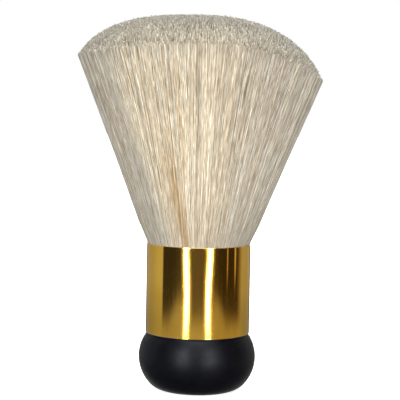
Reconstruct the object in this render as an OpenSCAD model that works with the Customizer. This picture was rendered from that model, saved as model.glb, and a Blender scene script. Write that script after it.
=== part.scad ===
// Neck duster brush: a turned knob handle, a drawn metal ferrule and a flared head of bristles.
// Millimetres, +Z up through the brush, origin at the centre of the underside.

/* [Knob] */
// widest diameter of the turned knob
knob_d = 50.4; // [49:0.2:51]
// height of the widest point above the underside
knob_belly_z = 14.4; // [14:0.1:14.6]
// radius of the turned curve at the knob's side and shoulder
knob_side_r = 17; // [16.8:0.1:18]
// radius of the tighter curve that rolls under to the base
knob_foot_r = 9.5; // [8.5:0.1:10.5]
// radius of the lathe centre's dimple in the base
dimple_r = 1.5; // [1:0.1:3]
// depth of the lathe centre's dimple
dimple_depth = 1.5; // [0.5:0.1:4]

/* [Spigot] */
// radius of the spigot that enters the ferrule
spigot_r = 21.95; // [21.6:0.05:22]
// height of the spigot's top face
spigot_top = 41; // [38:0.5:41]
// bevel around the spigot's top edge
spigot_bevel = 0.6; // [0.2:0.1:1.5]
// radius of the floor of the glue groove
groove_r = 20.9; // [20:0.1:21.4]
// height of the glue groove's lower wall
groove_z = 31; // [28:0.5:32]
// width of the glue groove
groove_w = 4; // [2:0.5:4]

/* [Ferrule] */
// outside diameter of the drawn sleeve
ferrule_d = 45; // [45:0.1:46]
// thickness of the sleeve's wall
ferrule_wall = 0.45; // [0.3:0.05:0.45]
// height of the sleeve's lower edge
ferrule_z = 24.95; // [24.9:0.05:26]
// height of the sleeve's upper edge
ferrule_top = 63.5; // [62:0.5:68]

/* [Bristle seat] */
// thickness of the fibre disc between spigot and resin
disc_t = 1.2; // [0.8:0.1:1.4]
// radial gap around the fibre disc
disc_gap = 0.4; // [0.2:0.1:1]
// thickness of the resin's floor
resin_floor = 2.5; // [1.5:0.1:2.6]
// height of the resin's rim
resin_top = 53; // [52:0.5:56]
// outer radius of the bound bristle roots
root_r = 19.6; // [18.5:0.1:20]
// radius of the binding thread
thread_r = 0.4; // [0.25:0.05:0.5]
// number of turns of the binding thread
thread_turns = 3; // [2:1:4]
// height of the lowest turn of thread
thread_z = 47; // [46.5:0.5:47.5]
// free space around each solid that is packed beside another
seat_gap = 0.3; // [0.2:0.05:0.4]

/* [Filler plug] */
// radius of the plug's foot
plug_r = 8; // [6:0.5:9]
// radius of the plug's rounded tip
plug_tip_r = 3; // [2:0.5:4]
// height where the plug starts to taper
plug_neck_z = 54; // [50:0.5:56]
// height of the centre of the plug's rounded tip
plug_tip_z = 63; // [60:0.5:66]

/* [Head] */
// radius of the bristles where they leave the ferrule
mouth_r = 21.95; // [21:0.05:22]
// height of the plane in which the flare is given
flare_z = 170; // [165:1:180]
// half width of the flare in that plane
flare_half_w = 65.1; // [60:0.1:68]
// half depth of the flare in that plane
flare_half_d = 45.1; // [40:0.1:60]
// sideways shift of the flare in that plane
flare_shift = 1.6; // [-3:0.1:3]
// radius of the domed cut across the bristle tips
dome_r = 73.6; // [72:0.2:80]
// height of the centre of that dome
dome_z = 87.9; // [80:0.5:90]
// sideways shift of that dome, which slants the cut
dome_shift = -5.5; // [-8:0.5:8]

/* [Layers] */
// share of the bundle's radius where the outer locks start
outer_from = 0.80; // [0.76:0.01:0.86]
// share of the bundle's radius where the core ends
core_to = 0.585; // [0.55:0.005:0.65]
// angle that each parting takes off the side of a lock
parting_half = 0.5; // [0.2:0.1:1.5]

/* [Hidden] */
$fn = 96;

lacquer = [0.05, 0.05, 0.06];
gold = [0.83, 0.62, 0.20];
glue = [0.85, 0.78, 0.55];
fibre = [0.55, 0.45, 0.33];
resin = [0.70, 0.55, 0.28];
cotton = [0.90, 0.88, 0.82];
pale_wood = [0.78, 0.63, 0.42];
bristle = [0.86, 0.80, 0.70];

far = 120;
sliver = 0.05;
flare_fn = 60;

// the knob's two arcs meet where both share one normal, at foot_angle below level
side_x = knob_d / 2 - knob_side_r;
foot_angle = asin((knob_belly_z - knob_foot_r) / (knob_side_r - knob_foot_r));
foot_x = side_x + (knob_side_r - knob_foot_r) * cos(foot_angle);

ferrule_r = ferrule_d / 2;
bore_r = ferrule_r - ferrule_wall;
disc_r = bore_r - disc_gap;
resin_z = spigot_top + disc_t;
seat_z = resin_z + resin_floor;
root_z = seat_z + sliver;
thread_pitch = 2 * thread_r + sliver;
pocket_r = root_r + seat_gap + 2 * thread_r;
pocket_z = thread_z - thread_pitch;
pocket_h = (thread_turns + 1) * thread_pitch;

// angles of the five partings between the outer locks, anticlockwise from +X
part_right = -48;
part_back_right = 20;
part_back_left = 130;
part_left = 216;
part_front = 245;

// ---- handle ----

// region on the upper side of the line where the knob's two arcs meet
module above_foot_line()
    polygon([[side_x, knob_belly_z],
             [side_x + far * cos(foot_angle), knob_belly_z - far * sin(foot_angle)],
             [far, far], [0, far], [0, knob_belly_z]]);

// region under the centre of the foot's arc, up to that line
module below_foot_line()
    polygon([[foot_x, knob_foot_r], [foot_x, -far], [far, -far],
             [foot_x + far * cos(foot_angle), knob_foot_r - far * sin(foot_angle)]]);

module knob_outline() {
    intersection() {
        translate([side_x, knob_belly_z]) circle(r = knob_side_r);
        above_foot_line();
    }
    intersection() {
        translate([foot_x, knob_foot_r]) circle(r = knob_foot_r);
        below_foot_line();
    }
    polygon([[0, 0], [foot_x, 0], [foot_x, knob_foot_r], [side_x, knob_belly_z],
             [0, knob_belly_z]]);
}

module spigot_outline()
    polygon([[0, knob_belly_z], [spigot_r, knob_belly_z], [spigot_r, groove_z], 
             [groove_r, groove_z], [groove_r, groove_z + groove_w], [spigot_r, groove_z + groove_w], 
             [spigot_r, spigot_top - spigot_bevel], [spigot_r - spigot_bevel, spigot_top], [0, spigot_top]]);

module knob() {
    color(lacquer) difference() {
        rotate_extrude() { knob_outline(); spigot_outline(); }
        cylinder(r1 = dimple_r, r2 = 0, h = dimple_depth);
    }
}

// ---- ferrule ----

module ferrule() {
    edge_r = ferrule_wall / 2;
    color(gold) rotate_extrude() {
        translate([bore_r, ferrule_z + edge_r])
            square([ferrule_wall, ferrule_top - ferrule_z - ferrule_wall]);
        translate([bore_r + edge_r, ferrule_z + edge_r]) circle(r = edge_r);
        translate([bore_r + edge_r, ferrule_top - edge_r]) circle(r = edge_r);
    }
}

module ferrule_glue() {
    color(glue) rotate_extrude()
        translate([groove_r, groove_z]) square([bore_r - groove_r, groove_w]);
}

// ---- what seats the bristles inside the ferrule ----

module backing_disc() {
    color(fibre) translate([0, 0, spigot_top]) cylinder(r = disc_r, h = disc_t);
}

module root_resin() {
    wall_r = root_r + seat_gap;
    color(resin) rotate_extrude()
        polygon([[0, resin_z], [bore_r, resin_z], [bore_r, resin_top], [wall_r, resin_top],
                 [wall_r, pocket_z + pocket_h], [pocket_r, pocket_z + pocket_h],
                 [pocket_r, pocket_z], [wall_r, pocket_z], [wall_r, seat_z], [0, seat_z]]);
}

module knot_thread() {
    color(cotton) for (turn = [0 : thread_turns - 1])
        translate([0, 0, thread_z + turn * thread_pitch])
            rotate_extrude() translate([root_r + thread_r + sliver, 0]) circle(r = thread_r);
}

// the plug's form; clear is the free space added all round
module plug_form(clear) {
    rotate_extrude() {
        polygon([[0, seat_z], [plug_r + clear, seat_z], [plug_r + clear, plug_neck_z],
                 [plug_tip_r + clear, plug_tip_z], [0, plug_tip_z]]);
        intersection() {
            translate([0, plug_tip_z]) circle(r = plug_tip_r + clear);
            translate([0, plug_tip_z - sliver]) square([far, far]);
        }
    }
}

module filler_plug() {
    color(pale_wood) plug_form(0);
}

// ---- bristles ----

// the whole bundle out to share of its radius, shrunk by gap; sink lowers only its foot
module bundle(share, gap, sink = 0) {
    foot = root_r * share - gap;
    mouth = mouth_r * share - gap;
    half_w = flare_half_w * share - gap;
    translate([0, 0, root_z - sink]) cylinder(r = foot, h = resin_top - root_z + sink);
    translate([0, 0, resin_top]) cylinder(r1 = foot, r2 = mouth, h = ferrule_top - resin_top);
    hull() {
        translate([0, 0, ferrule_top - sliver])
            cylinder(r = mouth, h = sliver, $fn = flare_fn);
        translate([flare_shift * share, 0, flare_z])
            scale([1, (flare_half_d * share - gap) / half_w, 1])
                cylinder(r = half_w, h = sliver, $fn = flare_fn);
    }
}

module dome() {
    translate([dome_shift, 0, dome_z]) sphere(r = dome_r);
}

module bristle_core() {
    color(bristle) difference() {
        intersection() { bundle(core_to, 0); dome(); }
        plug_form(seat_gap);
    }
}

module bristle_middle() {
    color(bristle) difference() {
        intersection() { bundle(outer_from, seat_gap); dome(); }
        bundle(core_to, -seat_gap, sink = far);
    }
}

// one lock of the outer layer, between two partings
module outer_lock(from, to) {
    a = from + parting_half;
    b = to - parting_half;
    color(bristle) intersection() {
        difference() {
            bundle(1, 0);
            bundle(outer_from, 0, sink = far);
        }
        dome();
        linear_extrude(height = flare_z)
            polygon([[0, 0], far * [cos(a), sin(a)], far * [cos((a + b) / 2), sin((a + b) / 2)],
                     far * [cos(b), sin(b)]]);
    }
}

module bristle_lock_left() { outer_lock(part_back_left, part_left); }
module bristle_lock_front_left() { outer_lock(part_left, part_front); }
module bristle_lock_front() { outer_lock(part_front, part_right + 360); }
module bristle_lock_right() { outer_lock(part_right, part_back_right); }
module bristle_lock_back() { outer_lock(part_back_right, part_back_left); }

knob();
ferrule();
ferrule_glue();
backing_disc();
root_resin();
knot_thread();
filler_plug();
bristle_core();
bristle_middle();
bristle_lock_left();
bristle_lock_front_left();
bristle_lock_front();
bristle_lock_right();
bristle_lock_back();
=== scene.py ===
import math

import bpy
import numpy as np
from mathutils import Matrix, Vector


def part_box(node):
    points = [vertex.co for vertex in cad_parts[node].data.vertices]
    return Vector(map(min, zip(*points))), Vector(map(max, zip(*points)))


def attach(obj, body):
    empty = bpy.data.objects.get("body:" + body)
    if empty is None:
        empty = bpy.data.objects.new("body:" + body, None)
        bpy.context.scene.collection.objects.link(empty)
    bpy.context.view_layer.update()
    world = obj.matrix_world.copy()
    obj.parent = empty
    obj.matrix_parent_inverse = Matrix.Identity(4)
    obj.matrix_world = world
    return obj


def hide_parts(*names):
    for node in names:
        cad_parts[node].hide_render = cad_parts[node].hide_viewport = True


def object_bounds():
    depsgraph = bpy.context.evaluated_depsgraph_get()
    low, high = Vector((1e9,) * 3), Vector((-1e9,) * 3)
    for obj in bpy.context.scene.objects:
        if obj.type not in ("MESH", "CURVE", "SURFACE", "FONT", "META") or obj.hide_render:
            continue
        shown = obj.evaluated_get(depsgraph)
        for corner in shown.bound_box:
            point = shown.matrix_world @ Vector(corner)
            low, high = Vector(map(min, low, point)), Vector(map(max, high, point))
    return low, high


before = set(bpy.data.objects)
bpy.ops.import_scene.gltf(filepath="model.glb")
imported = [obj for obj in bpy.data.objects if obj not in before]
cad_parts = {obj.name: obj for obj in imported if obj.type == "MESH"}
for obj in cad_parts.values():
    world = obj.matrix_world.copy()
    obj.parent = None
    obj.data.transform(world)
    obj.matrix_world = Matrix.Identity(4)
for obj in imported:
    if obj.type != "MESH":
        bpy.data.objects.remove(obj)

MM = 0.001
BODY = "root"
CAD_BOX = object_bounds()
scene = bpy.context.scene


# ---------------------------------------------------------------- camera

CAMERA_DISTANCE = 601.6 * MM
CAMERA_PITCH = math.radians(4.2)
CAMERA_ROLL = math.radians(1.04)
CAMERA_LENS = 126.0
AIM_SHARE = 0.507
AIM_RIGHT = 0.15 * MM
SENSOR_WIDTH = 36.0
NEAREST_SEEN = 0.01


def make_camera():
    """A long lens at the front, looking slightly down, aimed at the middle of the brush."""
    low, high = CAD_BOX
    aim = Vector((AIM_RIGHT, 0, low.z + (high.z - low.z) * AIM_SHARE))
    forward = Vector((0, math.cos(CAMERA_PITCH), -math.sin(CAMERA_PITCH)))
    up = Vector((0, math.sin(CAMERA_PITCH), math.cos(CAMERA_PITCH)))
    side = Vector((1, 0, 0))
    rolled_side = side * math.cos(CAMERA_ROLL) + up * math.sin(CAMERA_ROLL)
    rolled_up = up * math.cos(CAMERA_ROLL) - side * math.sin(CAMERA_ROLL)
    data = bpy.data.cameras.new("camera")
    data.lens = CAMERA_LENS
    data.sensor_width = SENSOR_WIDTH
    data.clip_start = NEAREST_SEEN
    camera = bpy.data.objects.new("camera", data)
    turn = Matrix((rolled_side, rolled_up, -forward)).transposed().to_4x4()
    camera.matrix_world = Matrix.Translation(aim - forward * CAMERA_DISTANCE) @ turn
    scene.collection.objects.link(camera)
    scene.camera = camera


# ---------------------------------------------------------------- the head's form, from the CAD

LOCK_NODES = ["bristle_lock_left", "bristle_lock_front_left", "bristle_lock_front",
              "bristle_lock_right", "bristle_lock_back"]
MOUTH_GAP = 0.1 * MM
OUTSIDE_SHARE = 0.97
CUT_BELOW_APEX = 0.9 * MM
CUT_POWER = 2.55
CUT_POWER_LEFT = 0.45
CUT_POWER_RIGHT = 0.3
CUT_EDGE_DROP = 0.8 * MM


def smooth(edge0, edge1, x):
    """0 below edge0, 1 above edge1, smooth between."""
    t = np.clip((x - edge0) / (edge1 - edge0), 0, 1)
    return t * t * (3 - 2 * t)


def corners(node):
    """The CAD node's vertices as an array of rows x, y, z."""
    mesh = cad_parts[node].data
    co = np.empty(len(mesh.vertices) * 3, np.float32)
    mesh.vertices.foreach_get("co", co)
    return co.reshape(-1, 3).astype(float)


class Head:
    """The bundle's form. A fibre is placed by its share of the bundle's radius and by phi, its
    turn round the bundle: 0 at the front, positive to the right."""

    def __init__(self):
        sleeve = corners("ferrule")
        self.rim_z = sleeve[:, 2].max()
        self.mouth_r = np.hypot(sleeve[:, 0], sleeve[:, 1]).min() - MOUTH_GAP
        outer = np.concatenate([corners(node) for node in LOCK_NODES])
        left = outer[outer[:, 0].argmin()]
        right = outer[outer[:, 0].argmax()]
        front = outer[outer[:, 1].argmin()]
        lean_left = (-left[0] - self.mouth_r) / (left[2] - self.rim_z)
        lean_right = (right[0] - self.mouth_r) / (right[2] - self.rim_z)
        self.lean_w = (lean_left + lean_right) / 2
        self.lean_shift = (lean_right - lean_left) / 2
        self.lean_d = (-front[1] - self.mouth_r) / (front[2] - self.rim_z)
        self.apex_z = corners("bristle_core")[:, 2].max()
        self.drop_left = self.apex_z - left[2]
        self.drop_right = self.apex_z - right[2]
        self.drop_front = self.apex_z - front[2]
        foot_z = outer[:, 2].min()
        foot = outer[outer[:, 2] < foot_z + 1 * MM]
        self.foot_rise = foot_z - self.rim_z
        self.foot_ratio = np.hypot(foot[:, 0], foot[:, 1]).max() / self.mouth_r
        self.resin_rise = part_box("root_resin")[1].z - self.rim_z
        self.core_share = self.share_of("bristle_core")
        self.middle_share = self.share_of("bristle_middle")

    def flat_place(self, node):
        """Place across and along, as shares of the bundle, of the node's upper half."""
        x, y, z = corners(node).T
        high = z > (self.rim_z + self.apex_z) / 2
        rise = z[high] - self.rim_z
        across = (x[high] - self.lean_shift * rise) / (self.mouth_r + self.lean_w * rise)
        along = -y[high] / (self.mouth_r + self.lean_d * rise)
        return across, along

    def share_of(self, node):
        """The largest share of the bundle's radius that the node reaches."""
        return np.hypot(*self.flat_place(node)).max()

    def span_of(self, node):
        """The range of phi that an outer lock covers."""
        across, along = self.flat_place(node)
        outside = np.hypot(across, along) > OUTSIDE_SHARE
        phi = np.arctan2(across[outside], along[outside])
        middle = math.atan2(np.sin(phi).mean(), np.cos(phi).mean())
        off = turn_difference(phi, middle)
        return middle + off.min(), middle + off.max()

    def cut_rise(self, share, phi):
        """How far above the rim the cut end of a fibre is: a rounded dome, lower at the right,
        that turns down a little sooner at the front and back."""
        across = np.sin(phi)
        side_drop = np.where(across < 0, self.drop_left, self.drop_right)
        drop = self.drop_front + (side_drop - self.drop_front) * across ** 2
        power = CUT_POWER - np.where(across < 0, CUT_POWER_LEFT, CUT_POWER_RIGHT) * across
        facing = 1 - smooth(0.6, 1.0, np.abs(across))
        soft_edge = CUT_EDGE_DROP * smooth(0.88, 1.0, share) * facing
        return self.apex_z - self.rim_z - CUT_BELOW_APEX - drop * share ** power - soft_edge

    def place(self, share, phi, rise, out=0.0):
        """Points at a rise above the rim, moved outward from the axis by out. Below the rim
        the bundle narrows to its foot."""
        above = np.maximum(rise, 0)
        neck = 1 - (1 - self.foot_ratio) * smooth(0, self.resin_rise, rise)
        sin, cos = np.sin(phi), np.cos(phi)
        wide = share * (self.mouth_r * neck + self.lean_w * above)
        deep = share * (self.mouth_r * neck + self.lean_d * above)
        x = wide * sin + share * self.lean_shift * above + out * sin
        y = -deep * cos - out * cos
        return np.stack(np.broadcast_arrays(x, y, self.rim_z + rise), -1)


def turn_difference(phi, other):
    """phi minus other, brought into half a turn either way."""
    return (phi - other + math.pi) % (2 * math.pi) - math.pi


head = Head()


# ---------------------------------------------------------------- how the bristles lie

class Ripple:
    """A smooth random field over phi and height, made of waves; the same for one seed."""

    WAVES = 14

    def __init__(self, seed, waves, drift):
        rng = np.random.default_rng(seed)
        self.turns = rng.integers(waves[0], waves[1], self.WAVES)
        self.rate = rng.normal(0, drift, self.WAVES)
        self.phase = rng.uniform(0, 2 * math.pi, self.WAVES)
        self.size = rng.uniform(0.5, 1, self.WAVES)
        self.size /= math.sqrt((self.size ** 2).sum() / 2)

    def __call__(self, phi, t):
        angle = phi[..., None] * self.turns + t[..., None] * self.rate + self.phase
        return (np.sin(angle) * self.size).sum(-1)


# For each field: its seed, its fewest and most waves round the bundle, and how fast it changes
# with height.
SWAY_WIDE = Ripple(11, (2, 9), 2.0)
SWAY_FINE = Ripple(12, (14, 40), 5.0)
SWELL_WIDE = Ripple(13, (3, 12), 1.5)
TONE_WIDE = Ripple(15, (4, 16), 1.5)
TONE_FINE = Ripple(16, (30, 90), 5.0)
TONE_THIN = Ripple(18, (120, 300), 9.0)
TUFT_SHIFT = Ripple(17, (5, 24), 3.0)
STRAND_SHIFT = Ripple(19, (20, 80), 6.0)
TUFTS = 60
STRANDS = 150
TUFT_WANDER = 0.45
STRAND_WANDER = 0.2


def parting_left(t):
    """phi of the edge of the lock that turns away at the left, for a height share t."""
    return np.radians(np.interp(t, [0, 0.1, 0.31, 0.55, 1.0], [-33, -36, -42, -49, -54]))


def parting_front(t):
    """phi of the warm parting left of the middle of the front."""
    return np.radians(np.interp(t, [0, 0.3, 0.5, 1.0], [-13.5, -20.0, -23.5, -26.0]))


def parting_right(t):
    """phi of the soft parting at the right."""
    return np.radians(np.interp(t, [0, 0.36, 1.0], [33, 37, 36]))


def from_middle(spread):
    """0 in the middle of a tuft or strand, 1 either way at its edge."""
    return 2 * (spread - np.round(spread))


def across_tuft(phi, t):
    return from_middle(phi / (2 * math.pi) * TUFTS + TUFT_WANDER * TUFT_SHIFT(phi, t))


def across_strand(phi, t):
    """Strands are finer than tufts, and their widths differ."""
    return from_middle(phi / (2 * math.pi) * STRANDS + STRAND_WANDER * STRAND_SHIFT(phi, t))


FRONT_FURROW_WIDTH = math.radians(4.5)
RIGHT_FURROW_WIDTH = math.radians(2.0)
RIGHT_FURROW_SHARE = 0.35


def furrow(phi, t):
    """Depth of the surface below the smooth bundle, 0 to 1, where a parting runs."""
    front = turn_difference(phi, parting_front(t)) / FRONT_FURROW_WIDTH
    deep = np.exp(-front ** 2) * (1 - smooth(0.25, 0.65, t))
    right = turn_difference(phi, parting_right(t)) / RIGHT_FURROW_WIDTH
    return deep + RIGHT_FURROW_SHARE * np.exp(-right ** 2)


def turned_away(phi, t):
    """1 in the left lock beside its parting, where it sits lower than its neighbour."""
    from_edge = turn_difference(parting_left(t), phi)
    inside = smooth(math.radians(-0.5), math.radians(1.5), from_edge)
    return inside * (1 - smooth(math.radians(12), math.radians(38), from_edge))


TUFT_DEPTH = 0.07 * MM
STRAND_DEPTH = 0.10 * MM
STRAND_DEPTH_MORE_AT_SIDES = 0.20 * MM
SWELL_HEIGHT = 0.08 * MM
FURROW_DEPTH = 0.8 * MM
LEFT_LOCK_STEP = 0.6 * MM
MOUTH_BULGE = 0.55 * MM


def surface_out(phi, t, share):
    """How far the fibres of a layer stand out from their smooth place."""
    grow = 0.3 + 0.7 * t
    strand_depth = STRAND_DEPTH + STRAND_DEPTH_MORE_AT_SIDES * np.sin(phi) ** 2
    out = -TUFT_DEPTH * grow * across_tuft(phi, t) ** 2
    out = out - strand_depth * grow * across_strand(phi, t) ** 2
    out = out + SWELL_HEIGHT * t * SWELL_WIDE(phi, t)
    out = out - FURROW_DEPTH * smooth(0, 0.25, t) * furrow(phi, t)
    out = out - LEFT_LOCK_STEP * smooth(0, 0.2, t) * turned_away(phi, t)
    out = out + MOUTH_BULGE * smooth(0, 0.035, t) * (1 - smooth(0.05, 0.4, t))
    return out * share ** 3


# ---------------------------------------------------------------- colours of the bristles

WARM = np.array([0.65, 0.59, 0.475])
PALE = np.array([0.71, 0.67, 0.575])
# Cool: greyer, for the left lock and the back; towards the right it stands for painted shade.
COOL = np.array([0.525, 0.495, 0.43])
# Tan: the real tan of a few fibres, and also painted shade between the strands, in the furrows and
# low among the tip fibres.
TAN_AND_SHADE = np.array([0.47, 0.33, 0.175])
BROWN = np.array([0.26, 0.17, 0.085])
# Cut ends: their grey, darkened as painted shade of the cut end, which faces up from the lamps and
# shades itself.
CUT_SHADED = np.array([0.362, 0.348, 0.306])
# Rim: painted light, paler cut ends where the cut's edge rounds down at the front and back.
RIM_LIT = np.array([0.51, 0.476, 0.397])


# Brightness by degrees round the bundle: a dull stretch lies right of the middle.
TONE_TURNS = [-40, -22, -12, 0, 13, 28, 42, 62]
TONE_LEVELS = [1.0, 1.04, 1.01, 0.96, 1.0, 0.90, 0.92, 1.05]

# What the kind of a fibre, from 0 to 1, makes of it.
PALE_KINDS_FROM = 0.70
TAN_KINDS_TO = 0.09
BROWN_KIND = 0.12
BROWN_KIND_WIDTH = 0.02
BACK_FROM = 1.9
BACK_WARMTH = 0.45


def warmth(phi, t):
    """1 where the bristles are creamy, less at the left lock and the back, and less towards the
    right as painted shade.
    """
    edge_width = math.radians(5) * (1 + 2 * t ** 2)
    warm = smooth(0, 1, turn_difference(phi, parting_left(t)) / edge_width)
    # Painted shade: cooler and darker towards the right, where the side turns from the lamps.
    warm = warm * (1 - 0.85 * smooth(math.radians(8), math.radians(30), phi))
    return np.where(np.abs(turn_difference(phi, 0.0)) > BACK_FROM, BACK_WARMTH, warm)


def pale_share(phi, t, fibre_kind, warm):
    pale = 0.2 * smooth(0.2, 1.4, TONE_FINE(phi, t))
    pale = pale + (fibre_kind > PALE_KINDS_FROM)[:, None] * 0.75
    return np.clip(pale, 0, 1) * (0.65 + 0.35 * warm)


def tan_and_shade_share(phi, t, fibre_kind, warm):
    """Painted shade in tan between the strands and in the furrows, and the real tan of a few fibres.
    """
    # Painted shade where the strands part.
    crevice_shade = np.abs(across_strand(phi, t)) ** 3
    patchy = smooth(-0.8, 0.8, TONE_THIN(phi, t) + 0.5 * TONE_WIDE(phi, t))
    tan_and_shade = (0.75 + 0.25 * np.sin(phi) ** 2) * crevice_shade * patchy
    # Painted shade in the furrows of the partings.
    tan_and_shade = tan_and_shade + 0.85 * np.clip(furrow(phi, t), 0, 1)
    tan_and_shade = tan_and_shade + (fibre_kind < TAN_KINDS_TO)[:, None] * 0.75
    return np.clip(tan_and_shade, 0, 0.9) * (0.6 + 0.4 * warm)


def brown_share(fibre_kind, warm):
    brown = np.abs(fibre_kind - BROWN_KIND) < BROWN_KIND_WIDTH
    return brown[:, None] * (0.5 + 0.25 * warm)


def side_tone(phi, t, fibre_tone):
    """Brightness along each fibre."""
    tone = (1 + 0.015 * TONE_WIDE(phi, t) + 0.02 * TONE_FINE(phi, t)) * fibre_tone[:, None]
    tone = tone * (0.92 + 0.12 * smooth(0, 0.3, t)) * (1 - 0.15 * smooth(0.68, 0.92, t))
    return tone * np.interp(np.degrees(phi), TONE_TURNS, TONE_LEVELS)


def blend(colour, other, share):
    return colour + (other - colour) * share[..., None]


def side_colour(phi, t, fibre_tone, fibre_kind):
    """Colour along each fibre of the outer layer, rows of r, g, b."""
    warm = warmth(phi, t)
    colour = COOL + (WARM - COOL) * warm[..., None]
    colour = blend(colour, PALE, pale_share(phi, t, fibre_kind, warm))
    colour = blend(colour, TAN_AND_SHADE, tan_and_shade_share(phi, t, fibre_kind, warm))
    colour = blend(colour, BROWN, brown_share(fibre_kind, warm))
    # Painted shade: greyer and darker at the top of each fibre, by the cut end.
    colour = blend(colour, CUT_SHADED, smooth(0.95, 1.0, t) * 0.4)
    return colour * side_tone(phi, t, fibre_tone)[..., None]


# ---------------------------------------------------------------- building meshes

def raw_mesh(name, verts, quads, tris):
    """A smooth-shaded mesh from arrays of quads and triangles."""
    mesh = bpy.data.meshes.new(name)
    mesh.vertices.add(len(verts))
    mesh.vertices.foreach_set("co", verts.astype(np.float32).ravel())
    loops = np.concatenate([quads.ravel(), tris.ravel()]).astype(np.int32)
    mesh.loops.add(len(loops))
    mesh.loops.foreach_set("vertex_index", loops)
    starts = np.concatenate([np.arange(len(quads)) * 4, quads.size + np.arange(len(tris)) * 3])
    mesh.polygons.add(len(starts))
    mesh.polygons.foreach_set("loop_start", starts.astype(np.int32))
    mesh.polygons.foreach_set("use_smooth", np.ones(len(starts), bool))
    mesh.update(calc_edges=True)
    mesh.validate()
    return mesh


# The radius at which the bundle's surface is unrolled, for the strokes of its material.
UNROLLED_R = 34 * MM


class FibreSet:
    """Closed three-sided fibres of one number of points: where their corners and faces are, and
    how they lie: their place across and along the bundle's surface if it were unrolled."""

    def __init__(self, paths, radii, colours, phi, rise):
        self.count, self.points, _ = paths.shape
        lie = np.stack(np.broadcast_arrays(phi * UNROLLED_R, rise, 0.0), -1)
        self.lie = np.repeat(lie.reshape(-1, 3), 3, axis=0)
        tangent = np.gradient(paths, axis=1)
        tangent /= np.linalg.norm(tangent, axis=-1, keepdims=True)
        away = paths.mean(1, keepdims=True) * [1, 1, 0] + [1e-9, 0, 0]
        first = away - (away * tangent).sum(-1, keepdims=True) * tangent
        first /= np.linalg.norm(first, axis=-1, keepdims=True)
        second = np.cross(tangent, first)
        angle = (np.arange(3) * 2 * math.pi / 3)[:, None]
        spoke = first[:, :, None] * np.cos(angle) + second[:, :, None] * np.sin(angle)
        ring = paths[:, :, None] + radii[:, :, None, None] * spoke
        self.verts = ring.reshape(-1, 3)
        self.tint = np.repeat(colours.reshape(-1, 3), 3, axis=0)

    def faces(self, offset):
        """Side quads and end triangles, for corners numbered from offset."""
        base = offset + np.arange(self.count)[:, None, None] * self.points * 3
        low = base + np.arange(self.points - 1)[None, :, None] * 3
        side = np.arange(3)
        here = low + side
        beside = low + (side + 1) % 3
        quads = np.stack([here, beside, beside + 3, here + 3], -1).reshape(-1, 4)
        root = base[:, 0] + np.array([2, 1, 0])
        tip = base[:, 0] + (self.points - 1) * 3 + np.array([0, 1, 2])
        return quads, np.concatenate([root, tip])

    def uv(self, first, total):
        """One upright strip of the texture for each fibre, numbered from first out of total."""
        columns = max(1, int(math.sqrt(total * 16)))
        rows = math.ceil(total / columns)
        number = first + np.arange(self.count)
        left = (number % columns) / columns
        low = (number // columns) / rows
        wide, tall = 0.8 / columns, 0.94 / rows
        level = np.arange(self.points - 1)[:, None, None] / (self.points - 1)
        u = left[:, None, None, None] + np.array([0, 1, 1, 0]) * wide
        v = low[:, None, None, None] + tall * (level + np.array([0, 0, 1, 1]) / (self.points - 1))
        shape = (self.count, self.points - 1, 3, 4)
        sides = np.stack([np.broadcast_to(u, shape), np.broadcast_to(v, shape)], -1)
        end_u = left[:, None] + np.array([0, 0.5, 1]) * wide
        root = np.stack([end_u, np.repeat(low[:, None] + 0.01 * tall, 3, 1)], -1)
        tip = np.stack([end_u, np.repeat(low[:, None] + 0.93 * tall, 3, 1)], -1)
        return sides.reshape(-1, 2), np.concatenate([root.reshape(-1, 2), tip.reshape(-1, 2)])


def fibre_mesh(name, sets):
    """One mesh of all the fibres, each with its colour and its strip of the texture."""
    total = sum(one.count for one in sets)
    offset, first = 0, 0
    quads, tris, side_uv, end_uv = [], [], [], []
    for one in sets:
        new_quads, new_tris = one.faces(offset)
        new_sides, new_ends = one.uv(first, total)
        quads.append(new_quads)
        tris.append(new_tris)
        side_uv.append(new_sides)
        end_uv.append(new_ends)
        offset += len(one.verts)
        first += one.count
    verts = np.concatenate([one.verts for one in sets])
    mesh = raw_mesh(name, verts, np.concatenate(quads), np.concatenate(tris))
    tint = np.concatenate([one.tint for one in sets])
    layer = mesh.color_attributes.new("tint", "FLOAT_COLOR", "POINT")
    rgba = np.c_[np.clip(tint, 0, 1), np.ones(len(tint))].astype(np.float32)
    layer.data.foreach_set("color", rgba.ravel())
    lie = np.concatenate([one.lie for one in sets]).astype(np.float32)
    mesh.attributes.new("lie", "FLOAT_VECTOR", "POINT").data.foreach_set("vector", lie.ravel())
    uv_layer = mesh.uv_layers.new(name="OFBake")
    uv = np.concatenate(side_uv + end_uv).astype(np.float32)
    uv_layer.data.foreach_set("uv", uv.ravel())
    return mesh


def add_piece(name, mesh, material, node):
    """Links the mesh as a piece that stands for a CAD node of bristles."""
    piece = bpy.data.objects.new(name, mesh)
    mesh.materials.append(material)
    scene.collection.objects.link(piece)
    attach(piece, BODY)
    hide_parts(node)
    return piece


# ---------------------------------------------------------------- fibres

FIBRES_ROUND = 12000
FIBRE_LEVELS = np.array([0, 0.12, 0.28, 0.45, 0.63, 0.82, 1.0])
FIBRE_ROOT_R = 0.10 * MM
FIBRE_TIP_R = 0.165 * MM
LAYER_DEPTH = 0.010
INNER_FIBRES = 0.25
CUT_SPREAD = 0.22 * MM
TUFT_PULL = 0.06
STRAND_PULL = 0.35
SWAY_WIDE_TURN = math.radians(0.55)
SWAY_FINE_TURN = math.radians(0.20)
LEAN_SPREAD = math.radians(0.5)
BOW_SPREAD = math.radians(0.4)
CURL_SPREAD = math.radians(0.25)
STAND_OFF = 0.10 * MM


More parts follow.
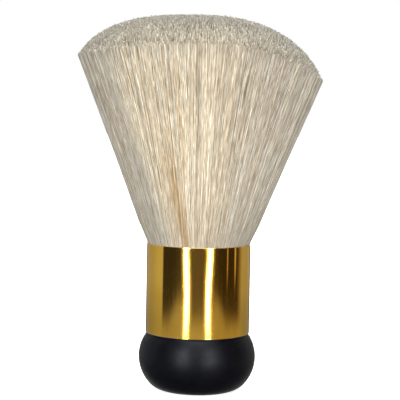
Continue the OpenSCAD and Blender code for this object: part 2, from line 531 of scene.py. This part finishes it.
def outer_fibres(seed, span):
    """The full-length fibres between two partings."""
    rng = np.random.default_rng(seed)
    count = int(FIBRES_ROUND * (span[1] - span[0]) / (2 * math.pi))
    phi0 = rng.uniform(span[0], span[1], count)[:, None]
    share = 1 - np.abs(rng.normal(0, LAYER_DEPTH, count))
    inner = rng.uniform(0, 1, count) < INNER_FIBRES
    share = np.where(inner, rng.uniform(head.middle_share + 0.01, 0.985, count), share)[:, None]
    cut = rng.normal(0, CUT_SPREAD, count) - rng.exponential(CUT_SPREAD, count)
    full = head.cut_rise(share, phi0)
    reach = full + cut[:, None]
    rise = reach * FIBRE_LEVELS
    rise = np.concatenate([np.full((count, 1), head.foot_rise), rise], 1)
    t = np.clip(rise / full, 0, 1)
    phi = phi0 + 0 * t
    phi = phi - TUFT_PULL * t * across_tuft(phi, t) * math.pi / TUFTS
    phi = phi - STRAND_PULL * t * across_strand(phi, t) * math.pi / STRANDS
    phi = phi + SWAY_WIDE_TURN * t * SWAY_WIDE(phi, t)
    phi = phi + SWAY_FINE_TURN * t * SWAY_FINE(phi, t)
    phi = phi + rng.normal(0, LEAN_SPREAD, (count, 1)) * t
    phi = phi + rng.normal(0, BOW_SPREAD, (count, 1)) * np.sin(t * math.pi)
    phi = phi + rng.normal(0, CURL_SPREAD, (count, 1)) * np.sin(t * 2 * math.pi)
    out = surface_out(phi, t, share) + rng.normal(0, STAND_OFF, (count, 1)) * t
    paths = head.place(share, phi, rise, out)
    thick = rng.lognormal(0, 0.18, count)[:, None]
    radii = (FIBRE_ROOT_R + (FIBRE_TIP_R - FIBRE_ROOT_R) * t) * thick
    colours = side_colour(phi, t, rng.lognormal(-0.02, 0.22, count), rng.uniform(0, 1, count))
    return FibreSet(paths, radii, colours, phi, rise)


TIP_SPACING = 0.52 * MM
TIP_R = 0.19 * MM
TIP_LENGTH = 8 * MM
TIP_CUT_SPREAD = 0.2 * MM
TIP_STAND_OFF = 0.2 * MM


def tip_fibres(seed, inner, outer, span=(-math.pi, math.pi)):
    """Short fibres whose cut ends fill the dome between two shares of its radius."""
    rng = np.random.default_rng(seed)
    top = head.apex_z - head.rim_z
    wide = head.mouth_r + head.lean_w * top
    deep = head.mouth_r + head.lean_d * top
    part = (outer ** 2 - inner ** 2) * (span[1] - span[0]) / (2 * math.pi)
    count = int(math.pi * wide * deep * part / TIP_SPACING ** 2)
    share = np.sqrt(rng.uniform(inner ** 2, outer ** 2, count))[:, None]
    phi = rng.uniform(span[0], span[1], count)[:, None]
    near_rim = smooth(0.58, 0.85, share[:, 0]) * np.cos(phi[:, 0]) ** 2
    stagger = (0.25 + 0.9 * near_rim) * MM
    cut = rng.normal(0, TIP_CUT_SPREAD, count) - rng.exponential(1, count) * stagger
    full = head.cut_rise(share, phi)
    level = np.array([0, 0.6, 1.0])
    rise = full + cut[:, None] - TIP_LENGTH * (1 - level)
    t = np.clip(rise / full, 0, 1)
    phi = phi + rng.normal(0, 0.012, (count, 1)) * (level - 0.5)
    out = surface_out(phi, t, share) + rng.normal(0, TIP_STAND_OFF, (count, 1)) * level
    paths = head.place(share, phi, rise, out)
    radii = np.repeat((TIP_R * rng.lognormal(0, 0.2, count))[:, None], 3, 1)
    tone = rng.lognormal(-0.03, 0.20, count)[:, None, None]
    # Painted shade: each tip fibre runs from tan low among the others to its cut colour at the end.
    towards_end = np.array([0.3, 0.75, 1.0])[None, :, None]
    # Painted light: paler cut ends where the edge rounds down at the front and back.
    rim_light = near_rim * np.cos(phi[:, 0]) ** 2
    end = CUT_SHADED + (RIM_LIT - CUT_SHADED) * rim_light[:, None, None]
    colours = (TAN_AND_SHADE + (end - TAN_AND_SHADE) * towards_end) * tone
    return FibreSet(paths, radii, colours, phi, rise)


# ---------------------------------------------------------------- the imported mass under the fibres

MASS_SINK = 3.5 * MM
MASS_LEVELS = np.linspace(0, 1, 24)
RING_COLUMNS = 300
CORE_COLUMNS = 240
PLUG_GAP = 0.4 * MM


def mass_wall(share, phi, upward):
    """Rings of points up or down the side of a packed mass, from the foot to under the cut."""
    full = head.cut_rise(share, phi) - MASS_SINK
    rises = [np.full_like(phi, head.foot_rise), np.full_like(phi, head.resin_rise)]
    rises += [full * level for level in MASS_LEVELS]
    rows = []
    for rise in rises:
        t = np.clip(rise / full, 0, 1)
        rows.append(head.place(share, phi, rise, surface_out(phi, t, share)))
    return rows if upward else rows[::-1]


def mass_top(shares, phi):
    """Rings of points over the top of a packed mass."""
    rows = []
    for share in shares:
        rise = head.cut_rise(share, phi) - MASS_SINK
        t = np.full_like(phi, 1.0)
        rows.append(head.place(share, phi, rise, surface_out(phi, t, share)))
    return rows


def joined_rows(rows, columns, round_phi, round_rows):
    """Quads between rows of points that follow each other."""
    count = len(rows)
    row = np.arange(count if round_rows else count - 1)[:, None]
    column = np.arange(columns if round_phi else columns - 1)[None, :]
    next_row = (row + 1) % count
    next_column = (column + 1) % columns
    here = row * columns + column
    beside = row * columns + next_column
    above = next_row * columns + column
    corner = next_row * columns + next_column
    return np.stack([here, beside, corner, above], -1).reshape(-1, 4)


def ring_mass(name, inner, outer):
    """A closed ring of packed bristles between two shares of the radius."""
    phi = np.linspace(-math.pi, math.pi, RING_COLUMNS, endpoint=False)
    rows = mass_wall(outer, phi, True)
    rows += mass_top(np.linspace(outer, inner, 8)[1:-1], phi)
    rows += mass_wall(inner, phi, False)
    quads = joined_rows(rows, len(phi), True, True)
    return raw_mesh(name, np.concatenate(rows), quads, np.empty((0, 3), int))


def wedge_mass(name, inner, outer, span):
    """A closed sector of packed bristles, for one outer lock."""
    columns = max(8, int(math.degrees(span[1] - span[0])))
    phi = np.linspace(span[0], span[1], columns)
    rows = mass_wall(outer, phi, True) + mass_wall(inner, phi, False)
    quads = joined_rows(rows, columns, False, True)
    low = np.arange(len(rows) // 2 - 1)
    across = len(rows) - 1 - low
    first = np.stack([low, low + 1, across - 1, across], -1) * columns
    last = first[:, ::-1] + columns - 1
    quads = np.concatenate([quads, first, last])
    return raw_mesh(name, np.concatenate(rows), quads, np.empty((0, 3), int))


def core_mass(name, outer):
    """The closed middle of the bundle, hollow below for the filler plug."""
    phi = np.linspace(-math.pi, math.pi, CORE_COLUMNS, endpoint=False)
    plug_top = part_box("filler_plug")[1]
    hollow_r = plug_top.x + PLUG_GAP
    hollow_rise = plug_top.z + PLUG_GAP - head.rim_z
    neck_rise = head.resin_rise
    hollow = []
    for level in np.linspace(0.985, 0, 8):
        rise = neck_rise + (hollow_rise - neck_rise) * level
        hollow.append(head_ring(phi, hollow_r * math.sqrt(1 - level ** 2), rise))
    hollow.append(head_ring(phi, hollow_r, head.foot_rise))
    rows = hollow + mass_wall(outer, phi, True) + mass_top(np.linspace(outer, 0, 12)[1:-1], phi)
    columns = len(phi)
    quads = joined_rows(rows, columns, True, False)
    verts = np.concatenate(rows)
    crown = head.place(0.0, np.zeros(1), head.cut_rise(0.0, np.zeros(1)) - MASS_SINK)
    plug_end = np.array([[0, 0, plug_top.z + PLUG_GAP]])
    turn = np.arange(columns)
    after = (turn + 1) % columns
    last = (len(rows) - 1) * columns
    bottom_cap = np.stack([after, turn, np.full(columns, len(verts))], -1)
    top_cap = np.stack([last + turn, last + after, np.full(columns, len(verts) + 1)], -1)
    verts = np.concatenate([verts, plug_end, crown])
    return raw_mesh(name, verts, quads, np.concatenate([bottom_cap, top_cap]))


def head_ring(phi, radius, rise):
    """A level circle of points round the brush's axis."""
    return np.stack([radius * np.sin(phi), -radius * np.cos(phi),
                     np.full_like(phi, head.rim_z + rise)], -1)


# ---------------------------------------------------------------- node helpers

class Graph:
    """Short ways to add nodes to one node tree."""

    def __init__(self, tree):
        self.tree = tree

    def add(self, kind, **settings):
        node = self.tree.nodes.new(kind)
        for key, value in settings.items():
            setattr(node, key, value)
        return node

    def join(self, source, target):
        self.tree.links.new(source, target)

    def feed(self, socket, value):
        if isinstance(value, bpy.types.NodeSocket):
            self.join(value, socket)
        else:
            socket.default_value = value

    def maths(self, operation, a, b=0.0, c=0.0, clamp=False):
        node = self.add("ShaderNodeMath", operation=operation, use_clamp=clamp)
        for socket, value in zip(node.inputs, (a, b, c)):
            self.feed(socket, value)
        return node.outputs[0]

    def ramp(self, value, low, high, out_low=0.0, out_high=1.0):
        """Smooth step from low to high, mapped to the two outputs."""
        node = self.add("ShaderNodeMapRange", interpolation_type="SMOOTHSTEP")
        for socket, entry in zip(node.inputs, (value, low, high, out_low, out_high)):
            self.feed(socket, entry)
        return node.outputs[0]

    def near(self, value, middle, inner, outer, low=0.0, high=1.0):
        """High where the value is within inner of the middle, low from outer on."""
        away = self.maths("ABSOLUTE", self.maths("SUBTRACT", value, middle))
        return self.ramp(away, outer, inner, low, high)

    def noise(self, vector, scale, detail=2.0, rough=0.5):
        node = self.add("ShaderNodeTexNoise")
        node.inputs["Scale"].default_value = scale
        node.inputs["Detail"].default_value = detail
        node.inputs["Roughness"].default_value = rough
        self.join(vector, node.inputs["Vector"])
        return node.outputs[0]

    def stretch(self, vector, scale):
        node = self.add("ShaderNodeMapping")
        node.inputs["Scale"].default_value = scale
        self.join(vector, node.inputs["Vector"])
        return node.outputs[0]

    def mix(self, share, a, b, blend="MIX"):
        node = self.add("ShaderNodeMix", data_type="RGBA", blend_type=blend)
        self.feed(node.inputs[0], share)
        self.feed(node.inputs[6], a)
        self.feed(node.inputs[7], b)
        return node.outputs[2]

    def bump(self, height, strength, distance):
        node = self.add("ShaderNodeBump")
        node.inputs["Strength"].default_value = strength
        node.inputs["Distance"].default_value = distance
        self.join(height, node.inputs["Height"])
        return node.outputs[0]


def new_material(name):
    """A material with one Principled shader; returns it with its graph, shader and position."""
    material = bpy.data.materials.new(name)
    material.use_nodes = True
    tree = material.node_tree
    shader = tree.nodes["Principled BSDF"]
    graph = Graph(tree)
    place = graph.add("ShaderNodeTexCoord").outputs["Object"]
    return material, graph, shader, place


# ---------------------------------------------------------------- materials

# Fine strokes along the fibres: painted highlights and painted shade of crinkled, clumped fibres.
STROKE_SCALE = 3000.0
STROKE_SHADE = (0.76, 0.715, 0.64, 1)
STROKE_HIGHLIGHT = (1.20, 1.21, 1.23, 1)


def bristle_material():
    material, g, shader, _ = new_material("bristle_fibre")
    tint = g.add("ShaderNodeAttribute", attribute_name="tint").outputs["Color"]
    lie = g.add("ShaderNodeAttribute", attribute_name="lie").outputs["Vector"]
    mottle = g.noise(g.stretch(lie, (1, 0.06, 1)), STROKE_SCALE, 1.0, 0.6)
    # Painted light and shade: the strokes lighten and darken the fibres' colour.
    stroke_light_and_shade = g.mix(g.ramp(mottle, 0.30, 0.70), STROKE_SHADE, STROKE_HIGHLIGHT)
    colour = g.mix(1.0, tint, stroke_light_and_shade, "MULTIPLY")
    g.join(colour, shader.inputs["Base Color"])
    g.join(g.ramp(mottle, 0.3, 0.7, 0.60, 0.75), shader.inputs["Roughness"])
    g.join(g.bump(mottle, 0.12, 0.00004), shader.inputs["Normal"])
    shader.inputs["Specular IOR Level"].default_value = 0.25
    shader.inputs["Sheen Weight"].default_value = 0.08
    return material


# The packed mass under the fibres, darker and warmer than they are: painted shade of the bundle's
# depths, seen through gaps between fibres.
def bundle_material():
    material, g, shader, place = new_material("bristle_depth_painted_shade")
    streak = g.noise(g.stretch(place, (1, 1, 0.04)), 1400.0, 4.0, 0.65)
    broad = g.noise(g.stretch(place, (1, 1, 0.15)), 260.0, 3.0)
    colour = g.mix(g.ramp(streak, 0.35, 0.68), (0.34, 0.25, 0.14, 1), (0.56, 0.46, 0.31, 1))
    colour = g.mix(g.ramp(broad, 0.3, 0.7, 0.0, 0.5), colour, (0.42, 0.33, 0.21, 1))
    g.join(colour, shader.inputs["Base Color"])
    g.join(g.ramp(streak, 0.3, 0.7, 0.6, 0.85), shader.inputs["Roughness"])
    g.join(g.bump(streak, 0.6, 0.0003), shader.inputs["Normal"])
    shader.inputs["Specular IOR Level"].default_value = 0.2
    return material


GOLD_DEEP = (0.95, 0.585, 0.080, 1)
GOLD_RED = (0.92, 0.55, 0.068, 1)
GOLD_SPECK = (1.0, 0.8, 0.42, 1)
GOLD_WORN = (1.0, 0.84, 0.55, 1)
EDGE_INSIDE = 0.7 * MM
EDGE_OUTSIDE = 0.15 * MM


def gold_material():
    """Drawn and anodised, with fine draw lines, a few specks and worn edges."""
    material, g, shader, place = new_material("gold_anodised_sleeve")
    parts = g.add("ShaderNodeSeparateXYZ")
    g.join(place, parts.inputs[0])
    height = parts.outputs["Z"]
    low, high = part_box("ferrule")
    draw = g.noise(g.stretch(place, (1, 1, 0.02)), 2600.0, 3.0, 0.6)
    cloud = g.noise(place, 90.0, 3.0)
    specks = g.noise(place, 1500.0, 1.0)
    speck = g.ramp(specks, 0.70, 0.76)
    low_edge = g.ramp(height, low.z + EDGE_INSIDE, low.z + EDGE_OUTSIDE)
    high_edge = g.ramp(height, high.z - EDGE_INSIDE, high.z - EDGE_OUTSIDE)
    edge = g.maths("MAXIMUM", low_edge, high_edge)
    worn = g.maths("MULTIPLY", edge, g.ramp(cloud, 0.35, 0.65))
    colour = g.mix(g.ramp(cloud, 0.3, 0.7), GOLD_DEEP, GOLD_RED)
    colour = g.mix(g.maths("MULTIPLY", speck, 0.4), colour, GOLD_SPECK)
    colour = g.mix(g.maths("MULTIPLY", worn, 0.55), colour, GOLD_WORN)
    g.join(colour, shader.inputs["Base Color"])
    rough = g.maths("ADD", g.ramp(draw, 0.3, 0.7, 0.045, 0.075),
                    g.maths("MULTIPLY", speck, 0.12))
    rough = g.maths("ADD", rough, g.maths("MULTIPLY", edge, 0.08))
    g.join(rough, shader.inputs["Roughness"])
    relief = g.maths("ADD", g.maths("MULTIPLY", draw, 0.4), speck)
    g.join(g.bump(relief, 0.10, 0.00002), shader.inputs["Normal"])
    shader.inputs["Metallic"].default_value = 1.0
    return material


LACQUER_DARK = (0.0006, 0.0007, 0.0016, 1)
LACQUER_LIGHT = (0.0012, 0.0013, 0.0026, 1)
DUST = (0.35, 0.35, 0.36, 1)


def lacquer_material():
    """Satin black with a slight orange peel and a little dust."""
    material, g, shader, place = new_material("black_lacquer_satin")
    peel = g.noise(place, 420.0, 3.0, 0.55)
    cloud = g.noise(place, 60.0, 3.0)
    dust = g.ramp(g.noise(place, 1700.0, 1.0), 0.70, 0.75)
    colour = g.mix(g.ramp(cloud, 0.3, 0.7), LACQUER_DARK, LACQUER_LIGHT)
    colour = g.mix(g.maths("MULTIPLY", dust, 0.06), colour, DUST)
    g.join(colour, shader.inputs["Base Color"])
    rough = g.maths("ADD", g.ramp(peel, 0.3, 0.7, 0.36, 0.44),
                    g.ramp(cloud, 0.3, 0.7, -0.02, 0.03))
    g.join(rough, shader.inputs["Roughness"])
    g.join(g.bump(peel, 0.12, 0.00008), shader.inputs["Normal"])
    shader.inputs["Specular IOR Level"].default_value = 0.22
    shader.inputs["Specular Tint"].default_value = (0.86, 0.90, 1.0, 1)
    return material


def grain_material(name, dark, light, scale, stretch, rough):
    """Used for the pieces that the ferrule hides: wood, fibre board, thread, resin and glue."""
    material, g, shader, place = new_material(name)
    grain = g.noise(g.stretch(place, stretch), scale, 4.0, 0.6)
    g.join(g.mix(g.ramp(grain, 0.3, 0.7), dark, light), shader.inputs["Base Color"])
    g.join(g.ramp(grain, 0.3, 0.7, rough, rough + 0.15), shader.inputs["Roughness"])
    g.join(g.bump(grain, 0.3, 0.0001), shader.inputs["Normal"])
    return material


def dress(node, material):
    """Gives a CAD node its better material."""
    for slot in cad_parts[node].material_slots:
        slot.material = material


def dress_cad_nodes():
    dress("ferrule", gold_material())
    dress("knob", lacquer_material())
    dress("ferrule_glue", grain_material("adhesive_ring", (0.62, 0.5, 0.28, 1),
                                         (0.82, 0.72, 0.48, 1), 500.0, (1, 1, 1), 0.3))
    dress("backing_disc", grain_material("fibre_board", (0.30, 0.22, 0.14, 1),
                                         (0.52, 0.41, 0.28, 1), 900.0, (1, 0.3, 1), 0.75))
    dress("root_resin", grain_material("cast_resin", (0.42, 0.27, 0.08, 1),
                                       (0.60, 0.43, 0.18, 1), 150.0, (1, 1, 1), 0.12))
    dress("knot_thread", grain_material("cotton_thread", (0.66, 0.63, 0.55, 1),
                                        (0.88, 0.86, 0.80, 1), 2500.0, (1, 1, 0.4), 0.8))
    dress("filler_plug", grain_material("plug_wood", (0.50, 0.34, 0.18, 1),
                                        (0.76, 0.60, 0.40, 1), 700.0, (1, 1, 0.08), 0.6))


# ---------------------------------------------------------------- bristle pieces

MASS_SHARE = 0.955
RING_GAP = 0.012
LOCK_OVERLAP = math.radians(0.8)
FIBRE_SEED = 40
LOCK_TIP_SEED = 60
MIDDLE_TIP_SEED = 70
CORE_TIP_SEED = 71


def make_lock(number, node, fibre, depth_shade):
    """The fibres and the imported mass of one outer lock."""
    inner_edge = head.middle_share + RING_GAP
    low, high = head.span_of(node)
    span = (low - LOCK_OVERLAP, high + LOCK_OVERLAP)
    sets = [outer_fibres(FIBRE_SEED + number, span),
            tip_fibres(LOCK_TIP_SEED + number, inner_edge, OUTSIDE_SHARE, span)]
    add_piece(node + "_fibres", fibre_mesh(node + "_fibres", sets), fibre, node)
    mass = wedge_mass(node + "_mass", inner_edge, MASS_SHARE, (low, high))
    add_piece(node + "_mass", mass, depth_shade, node)


def make_middle(fibre, depth_shade):
    """The ring of bristles inside the locks, of which only the cut tips show."""
    tips = [tip_fibres(MIDDLE_TIP_SEED, head.core_share, head.middle_share + RING_GAP)]
    add_piece("bristle_middle_tips", fibre_mesh("bristle_middle_tips", tips), fibre,
              "bristle_middle")
    mass = ring_mass("bristle_middle_mass", head.core_share + RING_GAP, head.middle_share)
    add_piece("bristle_middle_mass", mass, depth_shade, "bristle_middle")


def make_core(fibre, depth_shade):
    """The bristles round the axis, over the filler plug."""
    tips = [tip_fibres(CORE_TIP_SEED, 0.0, head.core_share)]
    add_piece("bristle_core_tips", fibre_mesh("bristle_core_tips", tips), fibre, "bristle_core")
    mass = core_mass("bristle_core_mass", head.core_share)
    add_piece("bristle_core_mass", mass, depth_shade, "bristle_core")


def make_bristles():
    fibre = bristle_material()
    depth_shade = bundle_material()
    for number, node in enumerate(LOCK_NODES):
        make_lock(number, node, fibre, depth_shade)
    make_middle(fibre, depth_shade)
    make_core(fibre, depth_shade)


# ---------------------------------------------------------------- floor, lights and surroundings

FLOOR_HALF = 4.0
FLOOR_GLOW = 0.80


def make_floor():
    """Pale paper that glows a little, so it stays as plain as a studio floor."""
    half = FLOOR_HALF
    mesh = bpy.data.meshes.new("floor")
    mesh.from_pydata([(-half, -half, 0), (half, -half, 0), (half, half, 0), (-half, half, 0)],
                     [], [(0, 1, 2, 3)])
    floor = bpy.data.objects.new("floor", mesh)
    scene.collection.objects.link(floor)
    material, g, shader, place = new_material("pale_paper")
    grain = g.noise(place, 40.0, 3.0)
    g.join(g.mix(g.ramp(grain, 0.3, 0.7), (0.90, 0.90, 0.90, 1), (0.94, 0.94, 0.94, 1)),
           shader.inputs["Base Color"])
    shader.inputs["Roughness"].default_value = 0.9
    shader.inputs["Specular IOR Level"].default_value = 0.0
    shader.inputs["Emission Color"].default_value = (1, 1, 1, 1)
    shader.inputs["Emission Strength"].default_value = FLOOR_GLOW
    mesh.materials.append(material)
    floor.visible_glossy = False
    floor.visible_diffuse = False


def area_light(name, place, aim, size, power, colour):
    data = bpy.data.lights.new(name, "AREA")
    data.shape = "RECTANGLE"
    data.size, data.size_y = size
    data.energy = power
    data.color = colour
    light = bpy.data.objects.new(name, data)
    light.location = place
    direction = Vector(aim) - Vector(place)
    light.rotation_euler = direction.to_track_quat("-Z", "Y").to_euler()
    light.visible_glossy = False
    light.visible_camera = False
    scene.collection.objects.link(light)


LIGHT_AIM = (0, 0, 0.10)
LIGHT_COLOUR = (1.0, 0.98, 0.945)
STRIP_TURN = math.radians(25)
STRIP_AWAY = 0.9
STRIP_HEIGHT = 0.28
STRIP_POWER = 6.6


def make_lights():
    """Two upright strips in front, a bar above them and a bar behind."""
    for name, side in (("strip_left", -1), ("strip_right", 1)):
        angle = STRIP_TURN * side
        place = (math.sin(angle) * STRIP_AWAY, -math.cos(angle) * STRIP_AWAY, STRIP_HEIGHT)
        area_light(name, place, LIGHT_AIM, (0.22, 0.9), STRIP_POWER, LIGHT_COLOUR)
    area_light("top_bar", (0, -0.65, 0.75), LIGHT_AIM, (0.8, 0.25), 2.6, LIGHT_COLOUR)
    area_light("rear_bar", (0, 0.9, 0.45), LIGHT_AIM, (0.5, 0.6), 6.0, LIGHT_COLOUR)


# Polished surfaces mirror painted surroundings. Their directions are in degrees: turn is 0
# towards the front and positive to the right, off is the turn either way from the middle of
# the lamps, and lift is above the horizon.
LAMPS_MIDDLE = -0.8
TABLE_EDGE = -9.15
TABLE_EDGE_RAISED = -8.3
NEAR_TABLE = 0.36
WINDOW_TURN = 169.0
LAMP_TURN = 22.8
LAMP_BOW = 4.2
LAMP_BOW_LIFT = -8.4
LAMP_BOW_HALF = 1.8
LAMP_LEVEL = 14.0
LAMP_HALO = 0.6
BAR_LEVEL = 5.0


def pale_wall(g, turn, off, lift):
    """Where the side walls stand, and how bright they are, down to a dark rear with a lamp."""
    wall = g.maths("MAXIMUM", g.ramp(turn, -82.0, -86.0), g.ramp(turn, 92.0, 116.0))
    level = g.maths("MULTIPLY", g.ramp(lift, -9.2, -7.2, 0.38, 0.53),
                    g.ramp(off, 88.0, 130.0, 1.0, 0.74))
    behind = g.maths("ADD", g.ramp(off, 152.0, 158.0, 1.0, 0.12),
                     g.near(off, WINDOW_TURN, 3.0, 5.5, 0.0, 9.0))
    return wall, g.maths("MULTIPLY", level, behind)


def pale_table(g, off, lift):
    """Where the table lies, and how bright it is."""
    edge = g.near(off, 40.0, 0.0, 30.0, TABLE_EDGE, TABLE_EDGE_RAISED)
    table = g.ramp(g.maths("SUBTRACT", lift, edge), 0.5, -0.5)
    pool = g.maths("ADD", g.near(off, 32.0, 4.0, 24.0), g.ramp(off, 128.0, 158.0))
    far = g.maths("MULTIPLY", pool, g.ramp(lift, -60.0, -30.0, 0.0, 0.42))
    far = g.maths("ADD", far, 0.10)
    near = g.ramp(lift, -22.0, -12.0)
    level = g.maths("ADD", g.maths("MULTIPLY", near, NEAR_TABLE),
                    g.maths("MULTIPLY", g.maths("SUBTRACT", 1.0, near), far))
    return table, level


def strip_lamps(g, off, lift):
    """Two upright strips with a faint halo, drawn inward where the ferrule's middle mirrors
    them."""
    bend = g.maths("DIVIDE", g.maths("SUBTRACT", lift, LAMP_BOW_LIFT), LAMP_BOW_HALF)
    bend = g.maths("MINIMUM", g.maths("MULTIPLY", bend, bend), 1.0)
    centre = g.maths("ADD", g.maths("MULTIPLY", bend, LAMP_BOW), LAMP_TURN)
    strip = g.maths("ADD", g.near(off, centre, 3.4, 6.6, 0.0, LAMP_LEVEL),
                    g.near(off, centre, 5.0, 13.0, 0.0, LAMP_HALO))
    strip = g.maths("MULTIPLY", strip, g.ramp(lift, 42.0, 34.0))
    return g.maths("MULTIPLY", strip, g.ramp(lift, -10.7, -8.5))


def top_lamp(g, off, lift):
    bar = g.maths("MULTIPLY", g.ramp(lift, 46.0, 56.0, 0.0, BAR_LEVEL),
                  g.ramp(lift, 88.0, 78.0))
    return g.maths("MULTIPLY", bar, g.ramp(off, 48.0, 38.0))


def right_streaks(g, turn, lift):
    """Two thin upright streaks at the right."""
    streaks = g.maths("ADD", g.near(turn, 66.5, 1.0, 2.0), g.near(turn, 88.0, 1.2, 3.2, 0.0, 1.2))
    return g.maths("MULTIPLY", streaks, g.ramp(lift, -7.9, -6.7, 0.0, 0.5))


def surround_tint(g, turn, wall, table, lamps):
    """The dark room is brownish, olive at the left; walls, table and lamps are nearly white."""
    brown = g.maths("MULTIPLY", g.ramp(wall, 0.0, 1.0, 1.0, 0.22),
                    g.ramp(table, 0.0, 1.0, 1.0, 0.5))
    brown = g.maths("MULTIPLY", brown, g.ramp(lamps, 0.0, 2.0, 1.0, 0.0))
    shade = g.mix(g.ramp(turn, -20.0, 50.0), (1.0, 0.90, 1.25, 1), (1.0, 0.74, 0.70, 1))
    return g.mix(brown, (1.0, 1.03, 1.0, 1), shade)


def glossy_panorama(g, direction):
    """What polished surfaces mirror: a dark room in front with a frame of strip lights, pale
    walls at the sides and a pale table below."""
    parts = g.add("ShaderNodeSeparateXYZ")
    g.join(direction, parts.inputs[0])
    x, y, z = parts.outputs
    turn = g.maths("DEGREES", g.maths("ARCTAN2", x, g.maths("MULTIPLY", y, -1.0)))
    lift = g.maths("DEGREES", g.maths("ARCSINE", z))
    off = g.maths("ABSOLUTE", g.maths("SUBTRACT", turn, LAMPS_MIDDLE))
    wall, wall_level = pale_wall(g, turn, off, lift)
    table, table_level = pale_table(g, off, lift)
    lamps = g.maths("ADD", strip_lamps(g, off, lift), top_lamp(g, off, lift))
    room = g.ramp(off, 17.0, 54.0, 0.120, 0.038)
    level = g.maths("ADD", g.maths("MULTIPLY", table, table_level), room)
    wall_shows = g.maths("MULTIPLY", wall, g.ramp(lift, -20.0, -12.0))
    level = g.maths("ADD", g.maths("MULTIPLY", level, g.maths("SUBTRACT", 1.0, wall_shows)),
                    g.maths("MULTIPLY", wall_shows, wall_level))
    level = g.maths("ADD", level, right_streaks(g, turn, lift))
    level = g.maths("ADD", level, lamps)
    return level, surround_tint(g, turn, wall, table, lamps)


def soft_fill(g, direction):
    """Soft light from all round, stronger from behind and from straight above."""
    parts = g.add("ShaderNodeSeparateXYZ")
    g.join(direction, parts.inputs[0])
    rear = g.ramp(parts.outputs["Y"], -0.35, 0.5, 0.30, 0.80)
    above = g.ramp(parts.outputs["Z"], 0.4, 0.95, 0.0, 0.5)
    return g.maths("ADD", rear, above)


def background(g, strength, colour):
    node = g.add("ShaderNodeBackground")
    g.feed(node.inputs["Strength"], strength)
    g.feed(node.inputs["Color"], colour)
    return node.outputs[0]


def either(g, chosen, shader, other):
    """The other shader where chosen is 1."""
    node = g.add("ShaderNodeMixShader")
    g.join(chosen, node.inputs[0])
    g.join(shader, node.inputs[1])
    g.join(other, node.inputs[2])
    return node.outputs[0]


def make_world():
    """White for the camera, the panorama for reflections, and a soft fill for the rest."""
    world = bpy.data.worlds.new("studio")
    scene.world = world
    world.use_nodes = True
    tree = world.node_tree
    tree.nodes.clear()
    g = Graph(tree)
    direction = g.add("ShaderNodeTexCoord").outputs["Generated"]
    path = g.add("ShaderNodeLightPath")
    mirrored = background(g, *glossy_panorama(g, direction))
    fill = background(g, soft_fill(g, direction), (0.95, 0.975, 1.0, 1))
    white = background(g, 1.0, (1, 1, 1, 1))
    unseen = either(g, path.outputs["Is Glossy Ray"], fill, mirrored)
    final = either(g, path.outputs["Is Camera Ray"], unseen, white)
    out = g.add("ShaderNodeOutputWorld")
    g.join(final, out.inputs["Surface"])


make_camera()
dress_cad_nodes()
make_bristles()
make_floor()
make_lights()
make_world()
scene.view_settings.view_transform = "Standard"
